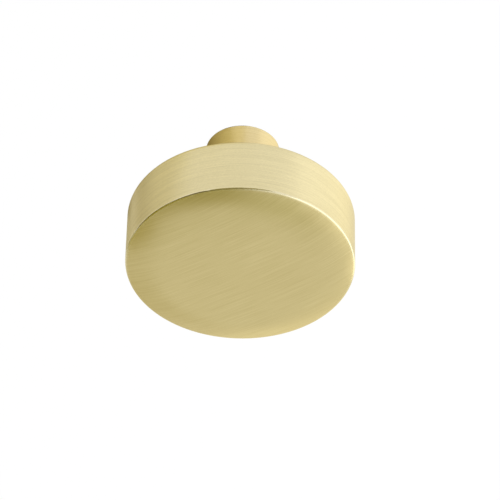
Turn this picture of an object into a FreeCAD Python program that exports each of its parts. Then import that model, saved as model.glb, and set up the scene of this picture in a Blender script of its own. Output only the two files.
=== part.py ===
import FreeCAD, Part
import Sketcher
import math
import os

from FreeCAD import Vector

# A cabinet knob turned from one bar: a thick disc head on a short round stem.
# It is held as it is used, on an upright drawer front. The origin is the centre of
# the stem's back end, which sits on the drawer, and the head points along -Y.

# Sizes in millimetres, angles in degrees: name, value, what it is
sizes = [
    ("projection", 28.0, "drawer front to the middle of the face"),
    ("head_diameter", 38.0, "across the head"),
    ("head_thickness", 12.5, "back of the head to the middle of the face"),
    ("stem_diameter", 12.5, "across the stem"),
    ("crown_radius", 200.0, "very shallow dome over the middle of the face"),
    ("shoulder_width", 6.5, "ring round the face where it eases over to the rim"),
    ("shoulder_radius", 19.0, "roundness of that ring"),
    ("rim_break", 0.35, "edge between face and side"),
    ("back_break", 0.8, "edge between side and back of the head"),
    ("neck_fillet", 1.0, "corner where the stem meets the head"),
    ("foot_bevel", 0.3, "edge round the stem's back end"),
    ("tap_drill", 3.3, "hole for a 4 mm coarse thread, before tapping"),
    ("drill_depth", 13.0, "full-diameter depth of the hole"),
    ("drill_angle", 118.0, "cone at the bottom of the hole"),
    ("mouth_diameter", 4.2, "countersink at the mouth of the hole"),
    ("mouth_angle", 90.0, "countersink angle"),
]
value = {name: size for name, size, meaning in sizes}

doc = FreeCAD.newDocument("cabinet_knob")


def make_sheet():
    sheet = doc.addObject("Spreadsheet::Sheet", "sizes")
    for row, (name, size, meaning) in enumerate(sizes, start=1):
        sheet.set(f"A{row}", meaning)
        sheet.set(f"B{row}", str(size))
        sheet.setAlias(f"B{row}", name)
    doc.recompute()


def origin_plane(body, role):
    for feature in body.Origin.OriginFeatures:
        if feature.Role == role:
            return feature
    raise ValueError(f"no plane {role}")


def new_sketch(body, name, role):
    sketch = body.newObject("Sketcher::SketchObject", name)
    sketch.AttachmentSupport = [(origin_plane(body, role), "")]
    sketch.MapMode = "FlatFace"
    return sketch


def add_size(sketch, name, constraint, formula):
    index = sketch.addConstraint(constraint)
    sketch.renameConstraint(index, name)
    sketch.setExpression(f"Constraints.{name}", formula)


def ring_edges(shape, radius):
    # names of the circular edges of one radius about the knob's axis, front of the knob first
    rings = []
    for number, edge in enumerate(shape.Edges, start=1):
        if edge.Degenerated or not isinstance(edge.Curve, Part.Circle):
            continue
        goes_round = abs(edge.Curve.Axis.y) > 0.99
        if goes_round and abs(edge.Curve.Radius - radius) < 1e-4:
            rings.append((edge.Curve.Center.y, f"Edge{number}"))
    return [name for place, name in sorted(rings)]


def dress_edge(body, kind, name, edge, size_property, size_name):
    # a round or a bevel along one edge of the body as it is so far
    before = body.Tip
    dressed = body.newObject(f"PartDesign::{kind}", name)
    dressed.Base = (before, [edge])
    dressed.setExpression(size_property, f"sizes.{size_name}")
    doc.recompute()


def arc(centre, radius, start_angle, end_angle):
    return Part.ArcOfCircle(Part.Circle(centre, Vector(0, 0, 1), radius), start_angle, end_angle)


def draw_profile(body):
    # half section of the bare knob: x is the distance from the axis, y runs along it
    sketch = new_sketch(body, "half_section", "XY_Plane")
    head_radius = value["head_diameter"] / 2
    stem_radius = value["stem_diameter"] / 2
    front = -value["projection"]
    back = front + value["head_thickness"]
    face_radius = head_radius - value["shoulder_width"]
    crown_radius = value["crown_radius"]
    shoulder_radius = value["shoulder_radius"]
    rim_radius = value["rim_break"]

    # the face runs from the axis along a shallow crown, a rounder shoulder and a crisp rim,
    # each arc tangent to the next and the rim tangent to the side
    crown_tilt = math.asin(face_radius / crown_radius)
    crown_centre = Vector(0, front + crown_radius, 0)
    shoulder_centre = crown_centre + Vector(math.sin(crown_tilt), -math.cos(crown_tilt), 0) * (
        crown_radius - shoulder_radius
    )
    rim_across = head_radius - rim_radius - shoulder_centre.x
    rim_tilt = math.asin(rim_across / (shoulder_radius - rim_radius))
    rim_along = (shoulder_radius - rim_radius) * math.cos(rim_tilt)
    rim_centre = shoulder_centre + Vector(rim_across, -rim_along, 0)
    down = -math.pi / 2

    corners = [
        Vector(0, 0, 0),
        Vector(stem_radius, 0, 0),
        Vector(stem_radius, back, 0),
        Vector(head_radius, back, 0),
        Vector(head_radius, rim_centre.y, 0),
    ]
    foot, stem, head_back, side, rim, shoulder, crown, axis = sketch.addGeometry(
        [Part.LineSegment(corners[i], corners[i + 1]) for i in range(4)]
        + [
            arc(rim_centre, rim_radius, down + rim_tilt, 0),
            arc(shoulder_centre, shoulder_radius, down + crown_tilt, down + rim_tilt),
            arc(crown_centre, crown_radius, down, down + crown_tilt),
            Part.LineSegment(Vector(0, front, 0), corners[0]),
        ],
        False,
    )

    start, end, centre = 1, 2, 3
    root, vertical_axis = -1, -2
    sketch.addConstraint(
        [
            Sketcher.Constraint("Coincident", foot, start, root, start),
            Sketcher.Constraint("Coincident", foot, end, stem, start),
            Sketcher.Constraint("Coincident", stem, end, head_back, start),
            Sketcher.Constraint("Coincident", head_back, end, side, start),
            Sketcher.Constraint("Tangent", side, end, rim, end),
            Sketcher.Constraint("Tangent", rim, start, shoulder, end),
            Sketcher.Constraint("Tangent", shoulder, start, crown, end),
            Sketcher.Constraint("Coincident", crown, start, axis, start),
            Sketcher.Constraint("Coincident", axis, end, foot, start),
            Sketcher.Constraint("Horizontal", foot),
            Sketcher.Constraint("Vertical", stem),
            Sketcher.Constraint("Horizontal", head_back),
            Sketcher.Constraint("Vertical", side),
            Sketcher.Constraint("Vertical", axis),
            Sketcher.Constraint("PointOnObject", crown, centre, vertical_axis),
        ]
    )
    bound_sizes = [
        ("stem_radius", "DistanceX", (root, start, foot, end), stem_radius, "stem_diameter / 2"),
        ("stem_length", "DistanceY", (stem, end, stem, start), -back, "projection - sizes.head_thickness"),
        ("head_radius", "DistanceX", (root, start, head_back, end), head_radius, "head_diameter / 2"),
        (
            "face_radius",
            "DistanceX",
            (root, start, crown, end),
            face_radius,
            "head_diameter / 2 - sizes.shoulder_width",
        ),
        ("whole_length", "DistanceY", (axis, start, axis, end), -front, "projection"),
        ("crown_radius", "Radius", (crown,), crown_radius, "crown_radius"),
        ("shoulder_radius", "Radius", (shoulder,), shoulder_radius, "shoulder_radius"),
        ("rim_radius", "Radius", (rim,), rim_radius, "rim_break"),
    ]
    for name, kind, places, size, formula in bound_sizes:
        add_size(sketch, name, Sketcher.Constraint(kind, *places, size), f"sizes.{formula}")
    doc.recompute()
    return sketch


def turn_knob(body):
    sketch = draw_profile(body)
    turned = body.newObject("PartDesign::Revolution", "turned_form")
    turned.Profile = (sketch, [""])
    turned.ReferenceAxis = (sketch, ["V_Axis"])
    turned.Angle = 360
    doc.recompute()

    head_back = ring_edges(body.Tip.Shape, value["head_diameter"] / 2)[-1]
    dress_edge(body, "Fillet", "head_back_edge", head_back, "Radius", "back_break")
    neck = ring_edges(body.Tip.Shape, value["stem_diameter"] / 2)[0]
    dress_edge(body, "Fillet", "neck", neck, "Radius", "neck_fillet")
    foot = ring_edges(body.Tip.Shape, value["stem_diameter"] / 2)[-1]
    dress_edge(body, "Chamfer", "foot_edge", foot, "Size", "foot_bevel")


def drill_screw_hole(body):
    # blind hole up the stem from its back end, drilled for tapping, with a countersunk mouth
    sketch = new_sketch(body, "hole_place", "XZ_Plane")
    mark = sketch.addGeometry(
        Part.Circle(Vector(0, 0, 0), Vector(0, 0, 1), value["tap_drill"] / 2), False
    )
    sketch.addConstraint(Sketcher.Constraint("Coincident", mark, 3, -1, 1))
    drill = Sketcher.Constraint("Diameter", mark, value["tap_drill"])
    add_size(sketch, "drill", drill, "sizes.tap_drill")
    doc.recompute()

    volume_before = body.Tip.Shape.Volume
    hole = body.newObject("PartDesign::Hole", "screw_hole")
    hole.Profile = (sketch, [""])
    hole.Reversed = True
    hole.ThreadType = "None"
    hole.DepthType = "Dimension"
    hole.HoleCutType = "Countersink"
    hole.HoleCutCustomValues = True
    hole.DrillPoint = "Angled"
    hole.setExpression("Diameter", "sizes.tap_drill")
    hole.setExpression("Depth", "sizes.drill_depth")
    hole.setExpression("DrillPointAngle", "sizes.drill_angle")
    hole.setExpression("HoleCutDiameter", "sizes.mouth_diameter")
    hole.setExpression("HoleCutCountersinkAngle", "sizes.mouth_angle")
    doc.recompute()
    removed = volume_before - body.Tip.Shape.Volume
    bore = math.pi * (value["tap_drill"] / 2) ** 2 * value["drill_depth"]
    if removed < bore:
        raise ValueError(f"the screw hole took away {removed:.1f} mm3, less than its bore")


def make_knob():
    body = doc.addObject("PartDesign::Body", "knob_body")
    body.Label = "knob"
    body.Placement = FreeCAD.Placement()
    turn_knob(body)
    drill_screw_hole(body)
    return body


def check(bodies):
    for item in doc.Objects:
        if "Invalid" in item.State or "Error" in item.State:
            raise ValueError(f"{item.Name} failed: {item.State}")
        if item.isDerivedFrom("Sketcher::SketchObject") and not item.FullyConstrained:
            raise ValueError(f"{item.Name} isn't fully constrained")
    for body in bodies:
        if body.Shape.isNull() or not body.Shape.isValid():
            raise ValueError(f"{body.Label} has no valid shape")
        if len(body.Shape.Solids) != 1:
            raise ValueError(f"{body.Label} isn't one solid")


make_sheet()
bodies = [make_knob()]
doc.recompute()
check(bodies)

os.makedirs("parts", exist_ok=True)
for body in bodies:
    body.Shape.exportStep(f"parts/{body.Label}.step")
    box = body.Shape.optimalBoundingBox(True, False)
    print(
        body.Label,
        f"{box.XLength:.2f} x {box.YLength:.2f} x {box.ZLength:.2f} mm,",
        f"{body.Shape.Volume:.1f} mm3",
    )
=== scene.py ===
import math

import bmesh
import bpy
from mathutils import Matrix, Vector


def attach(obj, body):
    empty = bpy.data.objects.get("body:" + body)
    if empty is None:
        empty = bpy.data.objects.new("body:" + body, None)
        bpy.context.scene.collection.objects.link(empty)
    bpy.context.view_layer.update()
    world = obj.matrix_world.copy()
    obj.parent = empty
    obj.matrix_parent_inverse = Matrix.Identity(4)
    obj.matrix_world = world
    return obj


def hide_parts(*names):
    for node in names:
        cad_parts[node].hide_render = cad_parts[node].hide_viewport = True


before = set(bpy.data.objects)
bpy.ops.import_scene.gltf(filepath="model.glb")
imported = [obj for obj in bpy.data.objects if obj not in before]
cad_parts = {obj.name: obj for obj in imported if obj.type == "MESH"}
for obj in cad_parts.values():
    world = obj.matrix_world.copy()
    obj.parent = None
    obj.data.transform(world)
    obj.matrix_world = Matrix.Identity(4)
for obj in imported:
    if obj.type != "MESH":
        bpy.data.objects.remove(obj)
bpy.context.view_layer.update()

mm = 0.001
closeEnough = 0.0001  # millimetres


# camera: in front of the drawer and well above the knob

view = {
    "target": (0.0, -25.86, 0.0),  # millimetres, on the knob's axis near its face
    "azimuth": 1.01,
    "elevation": 49.15,
    "distance": 570.0,
    "lens": 248.4,
    "sensor": 36.0,
    "shift": (0.0198, 0.0294),
    "nearest": 0.02,
    "farthest": 20.0,
}


def towards(azimuth, elevation):
    # direction from the knob: azimuth 0 is in front of it, 90 to its right
    around = math.radians(azimuth)
    up = math.radians(elevation)
    return Vector((math.sin(around) * math.cos(up), -math.cos(around) * math.cos(up), math.sin(up)))


def standOff(azimuth, elevation, distance):
    # place and turn of a camera, lamp or card that faces the knob
    direction = towards(azimuth, elevation)
    spot = (Vector(view["target"]) + direction * distance) * mm
    return Matrix.Translation(spot) @ (-direction).to_track_quat("-Z", "Y").to_matrix().to_4x4()


def addCamera():
    data = bpy.data.cameras.new("photoCamera")
    data.lens = view["lens"]
    data.sensor_width = view["sensor"]
    data.shift_x, data.shift_y = view["shift"]
    data.clip_start = view["nearest"]
    data.clip_end = view["farthest"]
    camera = bpy.data.objects.new("photoCamera", data)
    camera.matrix_world = standOff(view["azimuth"], view["elevation"], view["distance"])
    bpy.context.collection.objects.link(camera)
    bpy.context.scene.camera = camera
    print("camera set")


# shader wiring


class Wire:
    # a socket in a node tree that can be used in sums

    def __init__(self, tree, socket=None):
        self.tree = tree
        self.socket = socket

    def node(self, kind, settings=None, sockets=None, output=0):
        made = self.tree.nodes.new(kind)
        for name, setting in (settings or {}).items():
            setattr(made, name, setting)
        for name, value in (sockets or {}).items():
            if isinstance(value, Wire):
                self.tree.links.new(value.socket, made.inputs[name])
            else:
                made.inputs[name].default_value = value
        return Wire(self.tree, made.outputs[output] if made.outputs else None)

    def outlet(self, name):
        # another output of the same node
        return Wire(self.tree, self.socket.node.outputs[name])

    def maths(self, operation, *terms, clamp=False):
        settings = {"operation": operation, "use_clamp": clamp}
        return self.node("ShaderNodeMath", settings, dict(enumerate(terms)))

    def __add__(self, other):
        return self.maths("ADD", self, other)

    def __radd__(self, other):
        return self.maths("ADD", other, self)

    def __sub__(self, other):
        return self.maths("SUBTRACT", self, other)

    def __rsub__(self, other):
        return self.maths("SUBTRACT", other, self)

    def __mul__(self, other):
        return self.maths("MULTIPLY", self, other)

    def __rmul__(self, other):
        return self.maths("MULTIPLY", other, self)

    def fade(self, start, end):
        # 0 at start, 1 at end, smooth between
        return self.node(
            "ShaderNodeMapRange",
            {"interpolation_type": "SMOOTHSTEP"},
            {"Value": self, "From Min": start, "From Max": end},
        )

    def near(self, place, width):
        # 1 at place, falling to 0 at width from it
        return self.maths("ABSOLUTE", self - place).fade(width, 0.0)


def newMaterial(name):
    material = bpy.data.materials.new(name)
    material.use_nodes = True
    material.node_tree.nodes.clear()
    return material, Wire(material.node_tree)


def blend(wire, factor, first, second):
    # a Mix node takes its colours at sockets 6 and 7, and gives the blend at output 2
    settings = {"data_type": "RGBA", "clamp_factor": True}
    return wire.node("ShaderNodeMix", settings, {0: factor, 6: first, 7: second}, output=2)


def blendPlaces(wire, factor, first, second):
    # and its vectors at sockets 4 and 5, with output 1
    settings = {"data_type": "VECTOR", "clamp_factor": True}
    return wire.node("ShaderNodeMix", settings, {0: factor, 4: first, 5: second}, output=1)


# the knob

knob = {
    "projection": 28.0,
    "headBack": 15.5,
    "headRadius": 19.0,
    "stemRadius": 6.25,
    "crownRadius": 200.0,
    "shoulderWidth": 6.5,
    "shoulderRadius": 19.0,
    "rimBreak": 0.35,
    "backBreak": 0.8,
    "neckFillet": 1.0,
    "footRound": 0.4,
    "holdRing": 0.12,  # extra ring beside a round, so that the flat next to it shades flat
    "steps": {
        "crown": 14,
        "shoulder": 18,
        "rim": 12,
        "side": 6,
        "backEdge": 12,
        "back": 6,
        "neck": 10,
        "stem": 8,
        "footEdge": 8,
        "foot": 4,
        "spin": 180,
    },
    "sharpAngle": 32.0,
}
thread = {
    "drillRadius": 1.65,
    "majorRadius": 2.0,
    "mouthRadius": 2.1,
    "pitch": 0.7,
    "turns": 15,
    "ringsPerTurn": 10,
    "rootFlat": 0.125,
    "crestFlat": 0.25,
    "drillDepth": 13.0,
    "drillAngle": 118.0,
}


def drawArc(mesh, tip, centre, turn, steps):
    # carries the outline on round a centre, and gives back its new tip
    drawn = bmesh.ops.spin(
        mesh,
        geom=[tip],
        cent=(centre[0] * mm, centre[1] * mm, 0),
        axis=(0, 0, 1),
        dvec=(0, 0, 0),
        angle=turn,
        steps=steps,
        use_merge=False,
    )
    return drawn["geom_last"][0]


def drawLine(mesh, tip, spot, steps=1):
    start = tip.co.copy()
    end = Vector((spot[0] * mm, spot[1] * mm, 0))
    for step in range(1, steps + 1):
        tip = bmesh.ops.extrude_vert_indiv(mesh, verts=[tip])["verts"][0]
        tip.co = start.lerp(end, step / steps)
    return tip


def drawFlat(mesh, tip, spot, steps):
    # a line with a hold ring close to each end
    start = tip.co.xy / mm
    end = Vector(spot)
    hold = (end - start).normalized() * knob["holdRing"]
    tip = drawLine(mesh, tip, start + hold)
    tip = drawLine(mesh, tip, end - hold, steps)
    return drawLine(mesh, tip, spot)


def drawOutline(mesh):
    # half of the knob's section, from the middle of the face to the mouth of the screw hole:
    # x is the distance from the axis
    front = -knob["projection"]
    back = -knob["headBack"]
    headRadius = knob["headRadius"]
    stemRadius = knob["stemRadius"]
    steps = knob["steps"]
    quarter = math.pi / 2

    # crown, shoulder and rim run smoothly one into the next
    crownRadius = knob["crownRadius"]
    shoulderRadius = knob["shoulderRadius"]
    rimBreak = knob["rimBreak"]
    crownCentre = (0, front + crownRadius)
    crownTilt = math.asin((headRadius - knob["shoulderWidth"]) / crownRadius)
    inward = crownRadius - shoulderRadius
    shoulderCentre = (
        inward * math.sin(crownTilt),
        crownCentre[1] - inward * math.cos(crownTilt),
    )
    inward = shoulderRadius - rimBreak
    rimTilt = math.asin((headRadius - rimBreak - shoulderCentre[0]) / inward)
    rimCentre = (headRadius - rimBreak, shoulderCentre[1] - inward * math.cos(rimTilt))
    tip = mesh.verts.new((0, front * mm, 0))
    tip = drawArc(mesh, tip, crownCentre, crownTilt, steps["crown"])
    tip = drawArc(mesh, tip, shoulderCentre, rimTilt - crownTilt, steps["shoulder"])
    tip = drawArc(mesh, tip, rimCentre, quarter - rimTilt, steps["rim"])

    edge = knob["backBreak"]
    tip = drawFlat(mesh, tip, (headRadius, back - edge), steps["side"])
    tip = drawArc(mesh, tip, (headRadius - edge, back - edge), quarter, steps["backEdge"])

    neck = knob["neckFillet"]
    tip = drawFlat(mesh, tip, (stemRadius + neck, back), steps["back"])
    tip = drawArc(mesh, tip, (stemRadius + neck, back + neck), -quarter, steps["neck"])

    foot = knob["footRound"]
    tip = drawFlat(mesh, tip, (stemRadius, -foot), steps["stem"])
    tip = drawArc(mesh, tip, (stemRadius - foot, -foot), quarter, steps["footEdge"])
    return drawFlat(mesh, tip, (thread["mouthRadius"], 0), steps["foot"])


def drawHole(mesh, tip):
    drillRadius = thread["drillRadius"]
    mouthDepth = thread["mouthRadius"] - drillRadius
    threadEnd = mouthDepth + thread["pitch"] * thread["turns"]
    drillPoint = drillRadius / math.tan(math.radians(thread["drillAngle"] / 2))
    tip = drawLine(mesh, tip, (drillRadius, -mouthDepth))
    tip = drawLine(mesh, tip, (drillRadius, -threadEnd), thread["turns"] * thread["ringsPerTurn"])
    tip = drawLine(mesh, tip, (drillRadius, -thread["drillDepth"]))
    drawLine(mesh, tip, (0, -thread["drillDepth"] - drillPoint))


def cutThread(mesh):
    # the thread is a groove that climbs one pitch a turn, between the tapping drill and 4 mm
    drillRadius = thread["drillRadius"]
    start = drillRadius - thread["mouthRadius"]
    end = start - thread["pitch"] * thread["turns"]
    crest = 1 - thread["crestFlat"]
    for vertex in mesh.verts:
        x, y, z = vertex.co / mm
        radius = math.hypot(x, z)
        inBore = end - closeEnough <= y <= start + closeEnough
        if not inBore or abs(radius - drillRadius) > closeEnough:
            continue
        turn = (y / thread["pitch"] + math.atan2(z, x) / (2 * math.pi)) % 1
        fromRoot = abs(turn - 0.5) * 2  # 0 at the bottom of the groove, 1 halfway to the next
        depth = min(max((crest - fromRoot) / (crest - thread["rootFlat"]), 0), 1)
        runOut = min(max((y - end) / thread["pitch"], 0), 1)
        grown = drillRadius + (thread["majorRadius"] - drillRadius) * depth * runOut
        vertex.co.x *= grown / radius
        vertex.co.z *= grown / radius


def makeKnob():
    mesh = bmesh.new()
    drawHole(mesh, drawOutline(mesh))
    bmesh.ops.spin(
        mesh,
        geom=mesh.verts[:] + mesh.edges[:],
        cent=(0, 0, 0),
        axis=(0, 1, 0),
        dvec=(0, 0, 0),
        angle=2 * math.pi,
        steps=knob["steps"]["spin"],
        use_merge=True,
    )
    bmesh.ops.remove_doubles(mesh, verts=mesh.verts, dist=closeEnough * mm)
    cutThread(mesh)
    bmesh.ops.recalc_face_normals(mesh, faces=mesh.faces)
    for face in mesh.faces:
        face.smooth = True
    data = bpy.data.meshes.new("knobBody")
    mesh.to_mesh(data)
    mesh.free()
    data.set_sharp_from_angle(angle=math.radians(knob["sharpAngle"]))
    piece = bpy.data.objects.new("knobBody", data)
    bpy.context.collection.objects.link(piece)
    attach(piece, "root")
    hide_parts("knob")
    print("knob turned:", len(data.polygons), "faces")
    return piece


# brushed brass

brass = {
    # the darkest and palest tone of the brushing, on each part of the knob; the knob is one piece
    # of brass, so the paler side and stem and the deeper face are painted light and shade, lit and
    # shaded copies of one metal
    "face": ((0.537, 0.446, 0.202, 1), (0.645, 0.549, 0.277, 1)),
    "side": ((0.666, 0.584, 0.339, 1), (0.844, 0.748, 0.456, 1)),
    "stem": ((0.681, 0.550, 0.272, 1), (0.820, 0.680, 0.372, 1)),
    # a pale tone for the edges: real wear on the foot, and on the rim mostly a painted highlight
    # that whitens the bright line along it
    "wornAndHighlight": (0.80, 0.75, 0.56, 1),
    "rimWearAndHighlight": 0.6,  # how much of the pale tone shows on each edge: on the rim mostly a painted highlight, on the foot wear
    "footWear": 0.2,
    "glancing": (0.86, 0.80, 0.62, 1),  # tint of the metal where it is seen nearly edge on
    "faceRoughness": 0.30,
    "sideRoughness": 0.35,
    "stemRoughness": 0.33,
    "edgeRoughness": 0.11,
    "streakRoughness": 0.08,
    "coat": 0.06,
    "coatRoughness": 0.20,
    "brushAngle": 33.0,  # degrees up from level, in the plane of the face
}
# marks of the brushing: how many to the millimetre along it and across it, and their detail
marks = {
    "fine": (0.10, 9.0, 2.0),
    "broad": (0.04, 1.8, 1.0),
    "scratch": (0.20, 11.7, 1.0),
    "grain": (2.8, 11.0, 1.0),
    "hair": (0.3, 22.0, 1.0),
    "noiseRoughness": 0.6,
    "scratchFrom": (0.62, 0.76),  # only the peaks of the noise are scratches
    "toneScale": 0.11,  # slow change of tone, the same all ways
    "toneDetail": 2.0,
}
# how much each mark has of the shade, and how high it stands in millimetres
weights = {
    "streaks": 0.76,  # the fine marks and the grain together
    "sideGrain": 0.30,
    "faceGrain": 0.14,
    "broad": 0.12,
    "tone": 0.12,
    "scratch": 0.08,
    "shadeFrom": (0.30, 0.70),
    "hairLift": 0.004,
    "fineLift": 0.0021,
    "broadLift": 0.0015,
    "scratchDepth": 0.0012,
}
# where each part of the knob fades in, in millimetres along the axis and out from it
zones = {
    "faceAlong": (-25.95, -26.1),
    "stemAlong": (-16.0, -15.0),
    "stemOut": (8.5, 6.8),
    "rimAlong": (-25.95, 0.28),  # its middle, and how far it reaches from there
    "rimOut": (18.2, 18.6),
    "footAlong": (-0.15, 0.45),
    "footOut": (6.15, 0.5),
}


def streaks(wire, place, kind):
    # place runs along the brushing in x and z, and across it in y
    along, across, detail = marks[kind]
    scaled = wire.node(
        "ShaderNodeVectorMath",
        {"operation": "MULTIPLY"},
        {0: place, 1: (along, across, along)},
    )
    return wire.node(
        "ShaderNodeTexNoise",
        {"noise_dimensions": "3D"},
        {"Vector": scaled, "Scale": 1.0, "Detail": detail, "Roughness": marks["noiseRoughness"]},
    )


def makeBrass():
    material, wire = newMaterial("brushedBrass")
    inMetres = wire.node("ShaderNodeTexCoord", output="Object")
    place = wire.node(
        "ShaderNodeMapping",
        {"vector_type": "POINT"},
        {"Vector": inMetres, "Scale": (1 / mm, 1 / mm, 1 / mm)},
    )
    x = wire.node("ShaderNodeSeparateXYZ", sockets={0: place})
    y = x.outlet(1)
    z = x.outlet(2)
    radius = wire.maths("SQRT", x * x + z * z)

    onFace = y.fade(*zones["faceAlong"])
    onStem = radius.fade(*zones["stemOut"]) * y.fade(*zones["stemAlong"])
    rimEdge = y.near(*zones["rimAlong"]) * radius.fade(*zones["rimOut"])
    footEdge = y.near(*zones["footAlong"]) * radius.near(*zones["footOut"])
    edges = rimEdge + footEdge

    # the face is brushed straight, and everything else round and round in the lathe
    turned = wire.node(
        "ShaderNodeMapping",
        {"vector_type": "POINT"},
        {"Vector": place, "Rotation": (0, math.radians(brass["brushAngle"]), 0)},
    )
    alongFace = wire.node("ShaderNodeSeparateXYZ", sockets={0: turned})
    facePlace = wire.node(
        "ShaderNodeCombineXYZ", sockets={0: alongFace, 1: alongFace.outlet(2), 2: 0.0}
    )
    roundPlace = wire.node("ShaderNodeCombineXYZ", sockets={0: x, 1: y - radius, 2: z})
    brushPlace = blendPlaces(wire, onFace, roundPlace, facePlace)

    fine = streaks(wire, brushPlace, "fine")
    broad = streaks(wire, brushPlace, "broad")
    scratch = streaks(wire, brushPlace, "scratch").fade(*marks["scratchFrom"])
    grain = streaks(wire, brushPlace, "grain")
    hair = streaks(wire, brushPlace, "hair")
    tone = wire.node(
        "ShaderNodeTexNoise",
        {"noise_dimensions": "3D"},
        {"Vector": place, "Scale": marks["toneScale"], "Detail": marks["toneDetail"]},
    )

    grainShare = weights["sideGrain"] - onFace * (weights["sideGrain"] - weights["faceGrain"])
    shade = fine * (weights["streaks"] - grainShare) + grain * grainShare
    shade = shade + broad * weights["broad"] + tone * weights["tone"]
    shade = (shade - scratch * weights["scratch"]).fade(*weights["shadeFrom"])
    # the side, face and stem each take their own tone: painted light and shade on the one brass, on
    # top of the real streaks of the brushing
    colour = blend(wire, shade, *brass["side"])
    colour = blend(wire, onFace, colour, blend(wire, shade, *brass["face"]))
    colour = blend(wire, onStem, colour, blend(wire, shade, *brass["stem"]))
    # the rim's pale tone is partly wear and mostly a painted highlight; the foot's is wear
    wearAndHighlight = rimEdge * brass["rimWearAndHighlight"] + footEdge * brass["footWear"]
    colour = blend(wire, wearAndHighlight, colour, brass["wornAndHighlight"])

    rough = brass["sideRoughness"] + onFace * (brass["faceRoughness"] - brass["sideRoughness"])
    rough = rough + onStem * (brass["stemRoughness"] - brass["sideRoughness"])
    rough = rough + (fine - 0.5) * brass["streakRoughness"]
    rough = rough - edges * (rough - brass["edgeRoughness"])

    height = hair * weights["hairLift"] + fine * weights["fineLift"]
    height = height + broad * weights["broadLift"] - scratch * weights["scratchDepth"]
    bump = wire.node(
        "ShaderNodeBump", sockets={"Strength": 1.0, "Distance": mm, "Height": height}
    )
    metal = wire.node(
        "ShaderNodeBsdfPrincipled",
        sockets={
            "Base Color": colour,
            "Metallic": 1.0,
            "Roughness": rough,
            "Specular Tint": brass["glancing"],
            "Coat Weight": brass["coat"],
            "Coat Roughness": brass["coatRoughness"],
            "Normal": bump,
        },
    )
    wire.node("ShaderNodeOutputMaterial", sockets={"Surface": metal})
    print("brass ready")
    return material


# studio

studio = {
    "floorHeight": -250.0,
    "floorSize": 3000.0,
    "floorColour": (0.95, 0.95, 0.95, 1),
    "floorRoughness": 0.4,
    "floorGlow": 0.9,  # how far the floor looks white to the camera and in the metal
    "worldColour": (1, 1, 1, 1),
    "worldStrength": 1.0,
}
# each stands off from the knob at an azimuth (0 is in front, 90 to the right), an elevation and a
# distance in millimetres, and is so many millimetres wide and high
lamps = {
    "edgeLamp": {"stands": (46, -25, 520), "size": (200, 200), "power": 0.090},
    "rightLamp": {"stands": (72, -8, 520), "size": (460, 300), "power": 0.380},
    "rightHighLamp": {"stands": (72, 26, 520), "size": (460, 300), "power": 0.297},
    "frontRightLamp": {"stands": (34, 8, 560), "size": (220, 420), "power": 0.121},
    "rightBackLamp": {"stands": (122, 6, 520), "size": (420, 420), "power": 0.146},
    "backLamp": {"stands": (172, 38, 520), "size": (620, 420), "power": 0.017},
    "lowRightLamp": {"stands": (77, -40, 300), "size": (200, 200), "power": 0.140},
    "underLamp": {"stands": (110, -76, 235), "size": (150, 150), "power": 0.019},
    "lowBackLamp": {"stands": (140, -26, 420), "size": (240, 180), "power": 0.041},
}
# cards of a warm colour, which the brass reflects darker than the white all round it
cards = {
    "leftCard": {"stands": (-88, 4, 520), "size": (330, 400), "tone": (0.19, 0.15, 0.03)},
    "frontLeftCard": {"stands": (-52, 4, 520), "size": (330, 400), "tone": (0.37, 0.32, 0.02)},
    "frontCard": {"stands": (-16, 4, 520), "size": (330, 400), "tone": (0.53, 0.50, 0.24)},
    "topLeftCard": {"stands": (-75, 44, 520), "size": (480, 330), "tone": (0.18, 0.14, 0.05)},
    "topFrontCard": {"stands": (-15, 44, 520), "size": (420, 330), "tone": (0.19, 0.17, 0.06)},
    "overheadCard": {"stands": (0, 88, 520), "size": (520, 480), "tone": (0.40, 0.35, 0.14)},
    "lowLeftCard": {"stands": (-52, -36, 400), "size": (300, 230), "tone": (0.57, 0.52, 0.21)},
    "lowSideCard": {"stands": (-98, -32, 420), "size": (290, 180), "tone": (0.42, 0.38, 0.20)},
    "underLeftCard": {"stands": (-58, -64, 260), "size": (180, 140), "tone": (0.86, 0.84, 0.73)},
    "lowFrontCard": {"stands": (12, -16, 520), "size": (180, 280), "tone": (0.75, 0.75, 0.57)},
    "lowFaceCard": {"stands": (-14, -42, 420), "size": (300, 120), "tone": (0.47, 0.46, 0.14)},
    "backLeftCard": {"stands": (-133, 6, 520), "size": (260, 250), "tone": (0.76, 0.72, 0.55)},
    "lowBackLeftCard": {"stands": (-138, -24, 520), "size": (240, 290), "tone": (0.54, 0.50, 0.36)},
    "lowBackCard": {"stands": (-155, -50, 330), "size": (330, 180), "tone": (0.64, 0.62, 0.50)},
    # the last three are small and stand close behind the head, for the stem and its foot
    "stemCard": {
        "stands": (-150.5, 4, 38.5),
        "size": (23, 48),
        "tone": (0.06, 0.03, 0.00),
        "topTone": (0.86, 0.80, 0.46),
    },
    "stemTopCard": {"stands": (-167, 34, 61), "size": (30, 18), "tone": (0.90, 0.85, 0.60)},
    "footCard": {"stands": (-168, -10, 51), "size": (28, 44), "tone": (0.20, 0.13, 0.00)},
}


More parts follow.
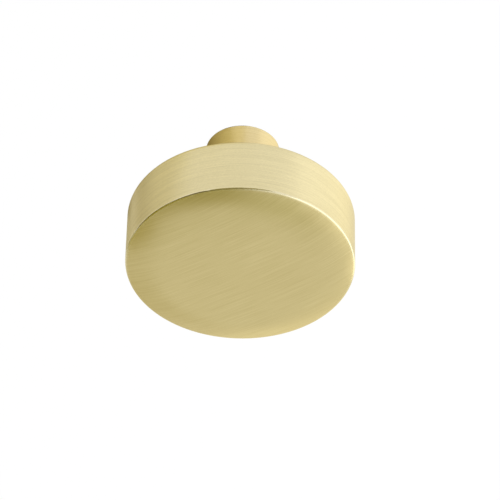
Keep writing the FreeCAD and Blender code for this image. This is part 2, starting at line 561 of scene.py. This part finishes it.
def addFloor():
    mesh = bmesh.new()
    bmesh.ops.create_grid(mesh, x_segments=1, y_segments=1, size=studio["floorSize"] / 2 * mm)
    bmesh.ops.translate(mesh, vec=(0, 0, studio["floorHeight"] * mm), verts=mesh.verts)
    data = bpy.data.meshes.new("floor")
    mesh.to_mesh(data)
    mesh.free()
    material, wire = newMaterial("paleFloor")
    camera = wire.node("ShaderNodeLightPath", output="Is Camera Ray")
    others = camera.outlet("Is Glossy Ray") + camera.outlet("Is Transmission Ray")
    seen = wire.maths("ADD", camera, others, clamp=True)
    matt = wire.node(
        "ShaderNodeBsdfDiffuse",
        sockets={"Color": studio["floorColour"], "Roughness": studio["floorRoughness"]},
    )
    glow = wire.node("ShaderNodeEmission", sockets={"Strength": 1.0})
    surface = wire.node(
        "ShaderNodeMixShader", sockets={0: seen * studio["floorGlow"], 1: matt, 2: glow}
    )
    wire.node("ShaderNodeOutputMaterial", sockets={"Surface": surface})
    data.materials.append(material)
    floor = bpy.data.objects.new("floor", data)
    bpy.context.collection.objects.link(floor)


def addWorld():
    world = bpy.data.worlds.new("studio")
    world.use_nodes = True
    world.node_tree.nodes.clear()
    wire = Wire(world.node_tree)
    sky = wire.node(
        "ShaderNodeBackground",
        sockets={"Color": studio["worldColour"], "Strength": studio["worldStrength"]},
    )
    wire.node("ShaderNodeOutputWorld", sockets={"Surface": sky})
    bpy.context.scene.world = world


def addLamps():
    for name, lamp in lamps.items():
        data = bpy.data.lights.new(name, "AREA")
        data.shape = "RECTANGLE"
        data.size = lamp["size"][0] * mm
        data.size_y = lamp["size"][1] * mm
        data.energy = lamp["power"]
        light = bpy.data.objects.new(name, data)
        light.matrix_world = standOff(*lamp["stands"])
        light.visible_camera = False
        bpy.context.collection.objects.link(light)


def cardColour(wire, card, data):
    # one tone, or two that blend from the bottom of the card to its top
    if "topTone" not in card:
        return (*card["tone"], 1)
    place = wire.node("ShaderNodeTexCoord", output="Object")
    height = wire.node("ShaderNodeSeparateXYZ", sockets={0: place}, output=2)
    ends = [vertex.co.z for vertex in data.vertices]
    share = (height - min(ends)) * (1 / (max(ends) - min(ends)))
    return blend(wire, share, (*card["tone"], 1), (*card["topTone"], 1))


def addCards():
    # only reflections see the cards
    for name, card in cards.items():
        mesh = bmesh.new()
        bmesh.ops.create_grid(mesh, x_segments=1, y_segments=1, size=0.5)  # 1 by 1 before scaling
        bmesh.ops.scale(mesh, vec=(card["size"][0] * mm, card["size"][1] * mm, 1), verts=mesh.verts)
        bmesh.ops.transform(mesh, matrix=standOff(*card["stands"]), verts=mesh.verts)
        data = bpy.data.meshes.new(name)
        mesh.to_mesh(data)
        mesh.free()
        material, wire = newMaterial(name)
        colour = cardColour(wire, card, data)
        dull = wire.node("ShaderNodeEmission", sockets={"Color": colour, "Strength": 1.0})
        wire.node("ShaderNodeOutputMaterial", sockets={"Surface": dull})
        data.materials.append(material)
        panel = bpy.data.objects.new(name, data)
        panel.visible_camera = False
        panel.visible_diffuse = False
        panel.visible_shadow = False
        bpy.context.collection.objects.link(panel)


addCamera()
knobBody = makeKnob()
knobBody.data.materials.append(makeBrass())
addFloor()
addWorld()
print("floor and world ready")
addLamps()
addCards()
print("studio lit")

bpy.context.scene.view_settings.view_transform = "Standard"
